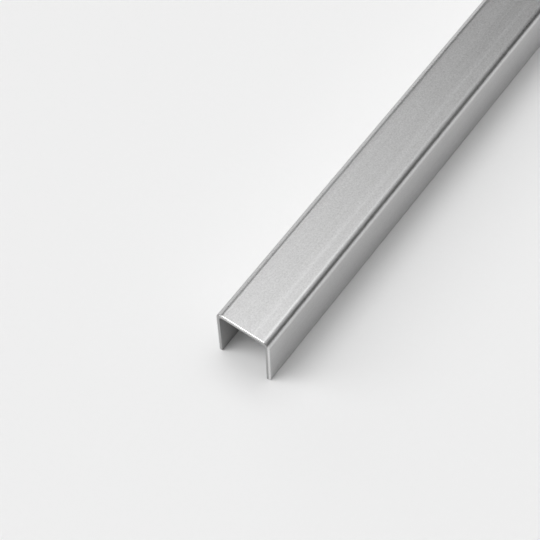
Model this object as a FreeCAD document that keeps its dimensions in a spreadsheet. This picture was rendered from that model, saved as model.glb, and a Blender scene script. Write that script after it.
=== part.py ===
"""Thin-gauge steel U-channel: one strip of sheet with two bends, lying on the tips of its flanges.

The stock runs along Y, its width lies along X and the web is on top.
The origin is on the floor, under the middle of the stock. All sizes are in millimetres.
"""

import FreeCAD, Part
import os
import Sketcher

# how a sketch constraint names the sketch's own axes, and the two ends of a line
X_AXIS = -1
Y_AXIS = -2
START, END = 1, 2

# two places closer than this, in millimetres, are the same place
TOUCH = 1e-6

# alias, value, what it is
DIMENSIONS = (
    ("stock_length", 1000, "length that the channel is sold in"),
    ("web_width", 15, "over the outer faces of the two flanges"),
    ("flange_height", 17, "from the tips of the flanges to the top of the web"),
    ("sheet_thickness", 1, "gauge of the sheet"),
    ("inner_radius", 1, "inside radius of each bend"),
    ("tip_round", 0.08, "outer edges of the flange tips, from slitting the strip"),
    ("end_round", 0.35, "outer edges of the two cut ends, filed round after the shear"),
)


def write_dimensions(doc):
    """The driving dimensions, one to a row, each with its alias."""
    sheet = doc.addObject("Spreadsheet::Sheet", "dimensions")
    for row, (alias, value, meaning) in enumerate(DIMENSIONS, start=1):
        sheet.set(f"A{row}", alias)
        sheet.set(f"B{row}", str(value))
        sheet.set(f"C{row}", meaning)
        sheet.setAlias(f"B{row}", alias)
    doc.recompute()
    return sheet


def origin_plane(body, role):
    return next(f for f in body.Origin.OriginFeatures if f.Role == role)


def outline_corners(sheet):
    """The eight corners of the U, clockwise from the outer corner of the left flange's tip.

    They only place the lines: the sketch's constraints hold the sizes.
    """
    outer = sheet.web_width / 2
    inner = outer - sheet.sheet_thickness
    top = sheet.flange_height
    ceiling = top - sheet.sheet_thickness
    return [
        (-outer, 0),
        (-outer, top),
        (outer, top),
        (outer, 0),
        (inner, 0),
        (inner, ceiling),
        (-inner, ceiling),
        (-inner, 0),
    ]


def draw_section(body, sheet):
    """The U with sharp corners, closed, symmetric about X = 0 and standing on Z = 0."""
    sketch = body.newObject("Sketcher::SketchObject", "section")
    sketch.AttachmentSupport = [(origin_plane(body, "XZ_Plane"), "")]
    sketch.MapMode = "FlatFace"

    corners = [FreeCAD.Vector(x, z, 0) for x, z in outline_corners(sheet)]
    for start, end in zip(corners, corners[1:] + corners[:1]):
        sketch.addGeometry(Part.LineSegment(start, end), False)
    (left_outer, web_top, right_outer, right_tip,
     right_inner, web_under, left_inner, left_tip) = range(len(corners))

    for line in range(len(corners)):
        following = (line + 1) % len(corners)
        sketch.addConstraint(Sketcher.Constraint("Coincident", line, END, following, START))
    for line in (left_outer, right_outer, right_inner, left_inner):
        sketch.addConstraint(Sketcher.Constraint("Vertical", line))
    for line in (web_under, right_tip, left_tip):
        sketch.addConstraint(Sketcher.Constraint("Horizontal", line))
    sketch.addConstraint(Sketcher.Constraint("PointOnObject", left_outer, START, X_AXIS))
    sketch.addConstraint(Sketcher.Constraint("PointOnObject", right_tip, START, X_AXIS))
    sketch.addConstraint(Sketcher.Constraint("Symmetric", web_top, START, web_top, END, Y_AXIS))
    sketch.addConstraint(Sketcher.Constraint("Equal", left_tip, right_tip))

    # name, the cell that drives it, kind and the two points that it measures between
    sized = (
        ("web_width", "web_width", "DistanceX", web_top, START, web_top, END),
        ("flange_height", "flange_height", "DistanceY", left_outer, START, left_outer, END),
        ("flange_gauge", "sheet_thickness", "DistanceX", right_tip, END, right_tip, START),
        ("web_gauge", "sheet_thickness", "DistanceY", web_under, END, web_top, START),
    )
    for name, cell, kind, *points in sized:
        index = sketch.addConstraint(Sketcher.Constraint(kind, *points, getattr(sheet, cell)))
        sketch.renameConstraint(index, name)
        sketch.setExpression(f"Constraints.{name}", f"dimensions.{cell}")
    return sketch


def extrude_stock(body, section):
    """The section carried along Y, half of the length to each side."""
    stock = body.newObject("PartDesign::Pad", "stock")
    stock.Profile = section
    stock.SideType = "Symmetric"
    stock.setExpression("Length", "dimensions.stock_length")
    return stock


def near(a, b):
    return abs(a - b) < TOUCH


def round_edges(body, base, name, wanted, radius):
    """A fillet on each edge of the base whose middle point wanted() accepts.

    The radius is an expression on the dimensions.
    """
    body.Document.recompute()
    names = []
    for number, edge in enumerate(base.Shape.Edges, start=1):
        middle = edge.valueAt((edge.FirstParameter + edge.LastParameter) / 2)
        if wanted(middle):
            names.append(f"Edge{number}")
    rounding = body.newObject("PartDesign::Fillet", name)
    rounding.Base = (base, names)
    rounding.setExpression("Radius", radius)
    return rounding


def make_channel(doc, sheet):
    body = doc.addObject("PartDesign::Body", "u_channel")
    body.Label = "u_channel"
    stock = extrude_stock(body, draw_section(body, sheet))

    outer = sheet.web_width / 2
    inner = outer - sheet.sheet_thickness
    top = sheet.flange_height
    ceiling = top - sheet.sheet_thickness
    cut_end = sheet.stock_length / 2

    # an edge that runs the whole length has its middle at Y = 0
    def inner_corner(middle):
        return near(middle.y, 0) and near(abs(middle.x), inner) and near(middle.z, ceiling)

    def outer_corner(middle):
        return near(middle.y, 0) and near(abs(middle.x), outer) and near(middle.z, top)

    def outer_tip(middle):
        return near(middle.y, 0) and near(abs(middle.x), outer) and near(middle.z, 0)

    def end_outline(middle):
        """The outline of a cut end, but for the part of it that borders the slot."""
        borders_slot = abs(middle.x) < inner + TOUCH and middle.z < ceiling + TOUCH
        return near(abs(middle.y), cut_end) and not borders_slot

    bent = round_edges(body, stock, "inner_bends", inner_corner, "dimensions.inner_radius")
    bent = round_edges(
        body, bent, "outer_bends", outer_corner, "dimensions.inner_radius + dimensions.sheet_thickness"
    )
    slit = round_edges(body, bent, "tip_edges", outer_tip, "dimensions.tip_round")
    round_edges(body, slit, "cut_ends", end_outline, "dimensions.end_round")
    doc.recompute()
    return body


def check(doc, bodies):
    """Stops the script if a feature failed or a body isn't one valid solid."""
    for item in doc.Objects:
        if "Invalid" in item.State or "Error" in item.State:
            raise RuntimeError(f"{item.Label} failed: {item.State}")
    for body in bodies:
        if body.Shape.isNull() or not body.Shape.isValid() or len(body.Shape.Solids) != 1:
            raise RuntimeError(f"{body.Label} is not one valid solid")


def main():
    doc = FreeCAD.newDocument("u_channel_stock")
    sheet = write_dimensions(doc)
    bodies = [make_channel(doc, sheet)]
    check(doc, bodies)
    os.makedirs("parts", exist_ok=True)
    for body in bodies:
        body.Shape.exportStep(f"parts/{body.Label}.step")
        box = body.Shape.optimalBoundingBox()
        print(f"{body.Label}: {box.XLength:.2f} x {box.YLength:.2f} x {box.ZLength:.2f} mm, "
              f"{body.Shape.Volume:.1f} mm3, {len(body.Shape.Faces)} faces")


main()
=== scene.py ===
"""A metre of thin steel U-channel, lying open side down on a pale floor under soft light."""

import math

import bmesh
import bpy
from mathutils import Matrix, Vector, noise


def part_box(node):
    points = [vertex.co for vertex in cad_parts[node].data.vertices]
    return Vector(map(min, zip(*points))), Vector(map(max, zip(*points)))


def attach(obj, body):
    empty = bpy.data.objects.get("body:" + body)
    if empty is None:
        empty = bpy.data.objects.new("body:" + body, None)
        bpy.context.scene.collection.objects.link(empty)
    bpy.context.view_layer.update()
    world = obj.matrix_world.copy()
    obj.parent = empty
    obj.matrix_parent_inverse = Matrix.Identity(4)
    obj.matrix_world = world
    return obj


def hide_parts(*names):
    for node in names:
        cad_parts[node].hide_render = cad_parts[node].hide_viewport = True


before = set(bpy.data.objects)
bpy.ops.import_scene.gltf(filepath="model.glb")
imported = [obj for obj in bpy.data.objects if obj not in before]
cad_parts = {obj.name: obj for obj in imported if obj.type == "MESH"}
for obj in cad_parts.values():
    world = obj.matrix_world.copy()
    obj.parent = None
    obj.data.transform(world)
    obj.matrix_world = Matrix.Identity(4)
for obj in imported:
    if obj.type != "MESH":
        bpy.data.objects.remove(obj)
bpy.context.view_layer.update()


# ---------------------------------------------------------------------------
# The channel
# One strip of cold-rolled steel sheet, folded down along two lines into a U and left bare.
# The long edges were slit, the two ends sheared square and filed, and it lies on its flange tips.
# ---------------------------------------------------------------------------

_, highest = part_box("u_channel")
half_width = highest.x
half_length = highest.y
height = highest.z

sheet_thickness = 0.001
bend_radius = 0.002         # outside, so one thickness of sheet inside
bend_steps = 20
end_roll = 0.00035          # the outer edge of each cut end is filed round
end_steps = 5
tip_roll = 0.00008          # and the slit edges are barely broken
tip_steps = 3
cut_bands = 6               # rows of faces across the thickness of a cut end
cut_columns = 44            # and faces along each straight side of it
fracture_from = 0.45        # share of the thickness where the clean cut ends and the tear begins
fracture_depth = 0.00005
fracture_fade = 0.25        # share of the thickness over which the tear reaches its full depth
tears_per_metre = 2500
half_cuts = 10              # cross-cuts along each half of the channel
smooth_angle = 32           # degrees: the bends are smooth and the corners stay sharp
square_to_end = 0.99        # a face with more of its normal than this along Y lies flat on a cut end
rim_tilt = 0.1              # and one with more than this belongs to the cut end or its rounded rim
touching = 1e-6


def pick(wanted):
    """Selects only the edges of the piece being edited that wanted() accepts."""
    bpy.ops.mesh.select_mode(type="EDGE")
    bpy.ops.mesh.select_all(action="DESELECT")
    mesh = bmesh.from_edit_mesh(bpy.context.edit_object.data)
    for edge in mesh.edges:
        if wanted(edge):
            edge.select_set(True)
    mesh.select_flush_mode()
    bmesh.update_edit_mesh(bpy.context.edit_object.data)


def middle(edge):
    return (edge.verts[0].co + edge.verts[1].co) / 2


def along(edge):
    """True for an edge that runs the length of the channel."""
    return abs(edge.verts[0].co.y - edge.verts[1].co.y) > half_length


def at_cut(edge):
    """True for an edge that lies in the plane of a cut end."""
    return all(abs(abs(vertex.co.y) - half_length) < touching for vertex in edge.verts)


def borders_slot(edge):
    place = middle(edge)
    inside = half_width - sheet_thickness + touching
    return abs(place.x) < inside and place.z < height - sheet_thickness + touching


bpy.ops.object.select_all(action="DESELECT")
bpy.ops.mesh.primitive_plane_add(size=1, location=(0, 0, height))
channel = bpy.context.object
channel.name = "channel"
bpy.ops.transform.resize(value=(2 * half_width, 2 * half_length, 1))
bpy.ops.object.transform_apply(location=True, rotation=True, scale=True)

# the flanges are folded down from the two long edges of the web
bpy.ops.object.mode_set(mode="EDIT")
pick(along)
bpy.ops.mesh.extrude_edges_move(TRANSFORM_OT_translate={"value": (0, 0, -height)})
pick(lambda edge: along(edge) and middle(edge).z > height / 2)
bpy.ops.mesh.bevel(offset=bend_radius, segments=bend_steps, profile=0.5, affect="EDGES")
bpy.ops.mesh.select_all(action="SELECT")
bpy.ops.mesh.normals_make_consistent(inside=False)
bpy.ops.object.mode_set(mode="OBJECT")

# the sheet's thickness goes inwards from this outer skin
gauge = channel.modifiers.new("gauge", "SOLIDIFY")
gauge.thickness = sheet_thickness
gauge.offset = -1
gauge.use_even_offset = True
bpy.ops.object.modifier_apply(modifier="gauge")

bpy.ops.object.mode_set(mode="EDIT")


def cut_outline(edge):
    """The edge between a cut end and the outer skin or a flange tip."""
    facing = [abs(face.normal.y) for face in edge.link_faces]
    return at_cut(edge) and min(facing) < square_to_end and not borders_slot(edge)


def slit_edge(edge):
    return along(edge) and middle(edge).z < touching and abs(abs(middle(edge).x) - half_width) < touching


pick(cut_outline)
bpy.ops.mesh.bevel(
    offset_type="ABSOLUTE", offset=end_roll, segments=end_steps, profile=0.5, affect="EDGES"
)
pick(slit_edge)
bpy.ops.mesh.bevel(
    offset_type="ABSOLUTE", offset=tip_roll, segments=tip_steps, profile=0.5, affect="EDGES"
)


def across_cut(edge):
    """An edge that crosses the thickness of the sheet, between two faces of a cut end."""
    return at_cut(edge) and all(abs(face.normal.y) > square_to_end for face in edge.link_faces)


def straight_side(edge):
    """The long edges of a cut end and of its rim, and the edges that run from end to end."""
    near_cut = all(abs(vertex.co.y) > half_length - 2 * end_roll for vertex in edge.verts)
    return near_cut and edge.calc_length() > 2 * bend_radius


pick(across_cut)
bpy.ops.mesh.subdivide(number_cuts=cut_bands - 1)
pick(straight_side)
bpy.ops.mesh.subdivide(number_cuts=cut_columns - 1)

# cross-cuts keep the long faces of the stock short enough to shade and to bake well
for step in range(1 - half_cuts, half_cuts):
    bpy.ops.mesh.select_all(action="SELECT")
    bpy.ops.mesh.bisect(plane_co=(0, step * half_length / half_cuts, 0), plane_no=(0, 1, 0))
bpy.ops.object.mode_set(mode="OBJECT")


def depth_in_sheet(place):
    """How far a point of a cut end lies under the outer skin, as a share of the thickness."""
    centre_x = half_width - bend_radius
    centre_z = height - bend_radius
    if abs(place.x) > centre_x and place.z > centre_z:
        skin = bend_radius - math.hypot(abs(place.x) - centre_x, place.z - centre_z)
    elif place.z > centre_z:
        skin = height - place.z
    else:
        skin = half_width - abs(place.x)
    return skin / sheet_thickness


# past the clean part of the cut the metal tore, which leaves it rough and a little set back
for vertex in channel.data.vertices:
    if abs(abs(vertex.co.y) - half_length) > touching:
        continue
    torn = depth_in_sheet(vertex.co) - fracture_from
    if torn > 0:
        ragged = 0.6 + 0.4 * noise.noise(vertex.co * tears_per_metre)
        end = math.copysign(1, vertex.co.y)
        vertex.co.y -= end * fracture_depth * min(1, torn / fracture_fade) * ragged

bpy.ops.object.shade_smooth_by_angle(angle=math.radians(smooth_angle))
even = channel.modifiers.new("even shading", "WEIGHTED_NORMAL")
even.keep_sharp = True
bpy.ops.object.modifier_apply(modifier="even shading")


class Wire:
    """A socket of a shader. Arithmetic on it adds Math nodes to the same shader."""

    def __init__(self, tree, socket=None):
        self.tree = tree
        self.socket = socket

    def node(self, kind, settings=None, inputs=None, output=0):
        """Adds a node: its settings first, then the values or the wires of its sockets."""
        made = self.tree.nodes.new(kind)
        for name, value in (settings or {}).items():
            setattr(made, name, value)
        for name, value in (inputs or {}).items():
            if isinstance(value, Wire):
                self.tree.links.new(value.socket, made.inputs[name])
            else:
                made.inputs[name].default_value = value
        return Wire(self.tree, made.outputs[output] if made.outputs else None)

    def reckon(self, operation, first, second=0.0):
        return self.node("ShaderNodeMath", {"operation": operation}, {0: first, 1: second})

    def __add__(self, other):
        return self.reckon("ADD", self, other)

    __radd__ = __add__

    def __mul__(self, other):
        return self.reckon("MULTIPLY", self, other)

    __rmul__ = __mul__

    def __sub__(self, other):
        return self.reckon("SUBTRACT", self, other)

    def __rsub__(self, other):
        return self.reckon("SUBTRACT", other, self)

    def size(self):
        return self.reckon("ABSOLUTE", self)

    def ramp(self, low, high):
        """0 below low, 1 above high, and smooth between them."""
        limits = {"From Min": low, "From Max": high, "Value": self}
        return self.node("ShaderNodeMapRange", {"interpolation_type": "SMOOTHSTEP"}, limits)


def texture(start, place, stretch, detail=2.0, roughness=0.5):
    """Noise from 0 to 1, with so many bumps to a metre along each axis."""
    stretched = start.node(
        "ShaderNodeVectorMath", {"operation": "MULTIPLY"}, {0: place, 1: stretch}
    )
    inputs = {"Vector": stretched, "Scale": 1.0, "Detail": detail, "Roughness": roughness}
    return start.node("ShaderNodeTexNoise", None, inputs)


def grey(start, level):
    """A neutral colour as bright as the level."""
    return start.node("ShaderNodeCombineColor", None, {"Red": level, "Green": level, "Blue": level})


steel_brightness = 0.585
steel_roughness = 0.36
steel_relief = 0.000018
# painted shade: how much darker the colour of the inner faces is made
inside_painted_shade = 0.25
flange_grain = 0.55                     # share of the web's grain that shows on the flanges
web_fades_in = (height - 0.0022, height - 0.0004)
bend_across = (half_width - 0.0022, half_width - 0.0012)
bend_upward = (height - 0.0026, height - 0.0016)
left_rub_at = -0.0021
left_rub_width = 0.0006
right_rub_at = 0.0030
right_rub_width = 0.0009

steel = bpy.data.materials.new("bare steel")
steel.use_nodes = True
steel.node_tree.nodes.clear()
start = Wire(steel.node_tree)
place = start.node("ShaderNodeTexCoord", output="Object")
across = start.node("ShaderNodeSeparateXYZ", None, {"Vector": place}, output="X")
upward = start.node("ShaderNodeSeparateXYZ", None, {"Vector": place}, output="Z")

# the skin's patterns, from the finest sparkle to streaks that run along the stock
grain = texture(start, place, (2600, 2000, 2600), detail=3.0, roughness=0.65)
sparkle = texture(start, place, (5200, 4200, 5200), detail=1.0)
drawn = texture(start, place, (2200, 30, 2200), detail=2.0)
streaks = texture(start, place, (520, 4.0, 520), detail=2.0)
clouds = texture(start, place, (90, 22, 90), detail=2.0)

# the flanges were wiped smoother than the web by the folding tool; the folds are a little smoother and
# their colour is lightened as a painted highlight, and the inside is a little rougher and its colour is
# darkened as painted shade
on_web = upward.ramp(*web_fades_in)
on_bend = across.size().ramp(*bend_across) * upward.ramp(*bend_upward)
grain_share = flange_grain + (1 - flange_grain) * on_web
inside = (half_width - sheet_thickness / 2 - across.size()).ramp(0.0, touching) * (
    height - sheet_thickness / 2 - upward
).ramp(0.0, touching)

# two faint rub lines run the length of the web, about a third and two thirds of the way across
left_rub = 1 - (across - left_rub_at).size().ramp(0.0, left_rub_width)
right_rub = 1 - (across - right_rub_at).size().ramp(0.0, right_rub_width)
broken_up = texture(start, place, (900, 14, 900)).ramp(0.35, 0.65)
rubbed = on_web * (0.5 * left_rub + right_rub) * broken_up

# each factor says how much a pattern counts, and the noise in it varies about 0.5
level = (
    steel_brightness
    + 0.34 * (grain - 0.5) * grain_share
    + 0.20 * (sparkle - 0.5) * grain_share
    + 0.08 * (drawn - 0.5)
    + 0.07 * (streaks - 0.5)
    + 0.05 * rubbed
    # painted highlight: the colour of the folds is lightened
    + 0.08 * on_bend
# painted shade: the colour of the inner faces is darkened
) * (1 - inside_painted_shade * inside)
roughness = (
    steel_roughness
    + 0.20 * (grain - 0.5) * grain_share
    + 0.06 * (drawn - 0.5)
    + 0.10 * (streaks - 0.5)
    + 0.06 * (clouds - 0.5)
    - 0.05 * on_bend
    + 0.10 * inside
)
relief = grain * grain_share + 0.6 * sparkle * grain_share + 0.4 * drawn
bumped = start.node(
    "ShaderNodeBump", None, {"Strength": 1.0, "Distance": steel_relief, "Height": relief}
)
metal = start.node(
    "ShaderNodeBsdfPrincipled",
    None,
    {"Base Color": grey(start, level), "Metallic": 1.0, "Roughness": roughness, "Normal": bumped},
)
start.node("ShaderNodeOutputMaterial", None, {"Surface": metal})

# the cut ends: bright and finely scored down to the tear, then dull and crystalline
cut_brightness = 0.72
cut_roughness = 0.24
cut_relief = 0.00003
tear_fades_in = (end_roll - 0.00003, end_roll + 0.00010)

cut = bpy.data.materials.new("sheared steel")
cut.use_nodes = True
cut.node_tree.nodes.clear()
start = Wire(cut.node_tree)
place = start.node("ShaderNodeTexCoord", output="Object")
across = start.node("ShaderNodeSeparateXYZ", None, {"Vector": place}, output="X")
upward = start.node("ShaderNodeSeparateXYZ", None, {"Vector": place}, output="Z")
in_flange = half_width - across.size()
in_web = height - upward
under_skin = start.reckon("MINIMUM", in_flange, in_web)
torn = under_skin.ramp(*tear_fades_in)
crystals = texture(start, place, (9000, 9000, 9000), detail=3.0, roughness=0.7)
scoring = texture(start, place, (5000, 300, 5000), detail=2.0)
level = cut_brightness - 0.26 * torn + 0.22 * (crystals - 0.5) * torn + 0.08 * (scoring - 0.5)
roughness = cut_roughness + 0.30 * torn + 0.15 * (scoring - 0.5)
relief = crystals * torn + 0.3 * scoring
bumped = start.node(
    "ShaderNodeBump", None, {"Strength": 1.0, "Distance": cut_relief, "Height": relief}
)
metal = start.node(
    "ShaderNodeBsdfPrincipled",
    None,
    {"Base Color": grey(start, level), "Metallic": 1.0, "Roughness": roughness, "Normal": bumped},
)
start.node("ShaderNodeOutputMaterial", None, {"Surface": metal})

channel.data.materials.append(steel)
channel.data.materials.append(cut)
for face in channel.data.polygons:
    if abs(face.normal.y) > rim_tilt and abs(abs(face.center.y) - half_length) < 2 * end_roll:
        face.material_index = 1

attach(channel, "root")
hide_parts("u_channel")


# ---------------------------------------------------------------------------
# The floor
# A wide sheet of matt off-white board, which the channel lies on and throws its soft shadow on.
# It isn't part of the object.
# ---------------------------------------------------------------------------

floor_reach = 60
board_brightness = 0.87
bpy.ops.object.select_all(action="DESELECT")
bpy.ops.mesh.primitive_plane_add(size=floor_reach, location=(0, 0, 0))
floor = bpy.context.object
floor.name = "floor"

board = bpy.data.materials.new("matt board")
board.use_nodes = True
board.node_tree.nodes.clear()
start = Wire(board.node_tree)
place = start.node("ShaderNodeTexCoord", output="Object")
mottle = texture(start, place, (700, 700, 700), detail=3.0)
level = board_brightness + 0.012 * (mottle - 0.5)
matt = start.node(
    "ShaderNodeBsdfPrincipled",
    None,
    {"Base Color": grey(start, level), "Roughness": 0.9, "Specular IOR Level": 0.2},
)
start.node("ShaderNodeOutputMaterial", None, {"Surface": matt})
floor.data.materials.append(board)


# ---------------------------------------------------------------------------
# The light
# Four softboxes overhead, to the left and in front, a weaker one on the right and a pale wall
# low on the left, all far off, in a dim room. They aren't part of the object.
# ---------------------------------------------------------------------------

# the way to each light, how strong it is and how wide it looks from the channel, in degrees
for name, source, energy, spread in (
    ("key softbox", (-0.35, -0.40, 0.85), 0.92, 30),
    ("left softbox", (-0.70, -0.45, 0.55), 0.70, 30),
    ("front softbox", (0.00, -0.50, 0.85), 0.52, 40),
    ("overhead softbox", (-0.15, 0.12, 0.98), 0.86, 50),
    ("right softbox", (0.40, 0.20, 0.90), 0.24, 50),
    ("left wall", (-0.85, 0.41, 0.20), 0.28, 40),
):
    bpy.ops.object.light_add(type="SUN", location=source)
    light = bpy.context.object
    light.name = name
    light.rotation_euler = Vector(source).to_track_quat("Z", "Y").to_euler()
    light.data.energy = energy
    light.data.angle = math.radians(spread)

wall_glow = 0.05
ceiling_glow = 0.10                     # on top of the walls' glow

room = bpy.data.worlds.new("room")
room.use_nodes = True
room.node_tree.nodes.clear()
start = Wire(room.node_tree)
direction = start.node("ShaderNodeTexCoord", output="Generated")
rise = start.node("ShaderNodeSeparateXYZ", None, {"Vector": direction}, output="Z")
glow = wall_glow + ceiling_glow * rise.ramp(0.0, 1.0)
sky = start.node("ShaderNodeBackground", None, {"Color": grey(start, glow), "Strength": 1.0})
start.node("ShaderNodeOutputWorld", None, {"Surface": sky})
bpy.context.scene.world = room


# ---------------------------------------------------------------------------
# The camera
# A long lens looking steeply down on one end, from the right of the channel.
# ---------------------------------------------------------------------------

turn = math.radians(38.1)
tilt = math.radians(90 - 58.68)
roll = math.radians(-2.5)
distance = 0.3551
aim_left = 0.0040           # of the middle of the web
aim_inward = 0.0164         # from the near end
aim = Vector((-aim_left, aim_inward - half_length, height))

lens = bpy.data.cameras.new("camera")
lens.lens = 102.6           # millimetres, on a sensor 36 wide
lens.sensor_width = 36
lens.clip_start = 0.01
lens.clip_end = 200
camera = bpy.data.objects.new("camera", lens)
bpy.context.scene.collection.objects.link(camera)
facing = Matrix.Rotation(turn, 4, "Z") @ Matrix.Rotation(tilt, 4, "X") @ Matrix.Rotation(roll, 4, "Z")
camera.matrix_world = Matrix.Translation(aim + facing @ Vector((0, 0, distance))) @ facing
bpy.context.scene.camera = camera
bpy.context.scene.view_settings.view_transform = "Standard"
